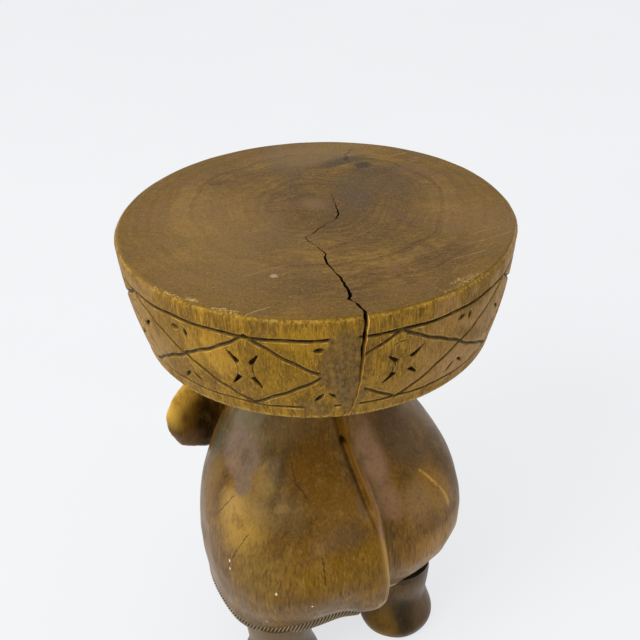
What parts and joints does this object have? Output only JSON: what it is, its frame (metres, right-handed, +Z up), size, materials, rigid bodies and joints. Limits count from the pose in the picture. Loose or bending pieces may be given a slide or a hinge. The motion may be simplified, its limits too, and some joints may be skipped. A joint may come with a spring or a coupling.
{
  "type": "carved elephant stool",
  "caption": "Low round-topped stool carved as a standing elephant: thick disc seat with incised lattice rim on the animal's back, trunk and feet on the floor.",
  "frame": {"origin": "on the floor under the seat's axis, at the bottom centre of the bounding box", "axes": "+Z up, the elephant faces -Y, so its tail is at +Y and its left side is at +X"},
  "size_m": [0.305, 0.305, 0.42],
  "materials": {
    "seat_wood": "hand-rubbed satin varnish, golden on the rim, olive-brown on top",
    "body_wood": "hand-rubbed satin varnish over stained hardwood",
    "head_wood": "hand-rubbed satin varnish over stained hardwood",
    "ear_wood": "hand-rubbed satin varnish over stained hardwood",
    "leg_wood": "dark stained hardwood, satin",
    "tusk_wood": "pale hardwood, satin",
    "eye_wood": "dark hardwood, polished",
    "dowel_wood": "plain turned hardwood"
  },
  "bodies": {
    "root": {"seat": "seat_wood", "seat_dowels": "dowel_wood", "body": "body_wood", "head": "head_wood", "head_dowels": "dowel_wood", "tail": "body_wood", "rear_left_leg": "leg_wood", "rear_right_leg": "leg_wood", "front_left_leg": "leg_wood", "front_right_leg": "leg_wood", "left_ear": "ear_wood", "right_ear": "ear_wood", "left_tusk": "tusk_wood", "right_tusk": "tusk_wood", "left_eye": "eye_wood", "right_eye": "eye_wood"}
  },
  "joints": []
}
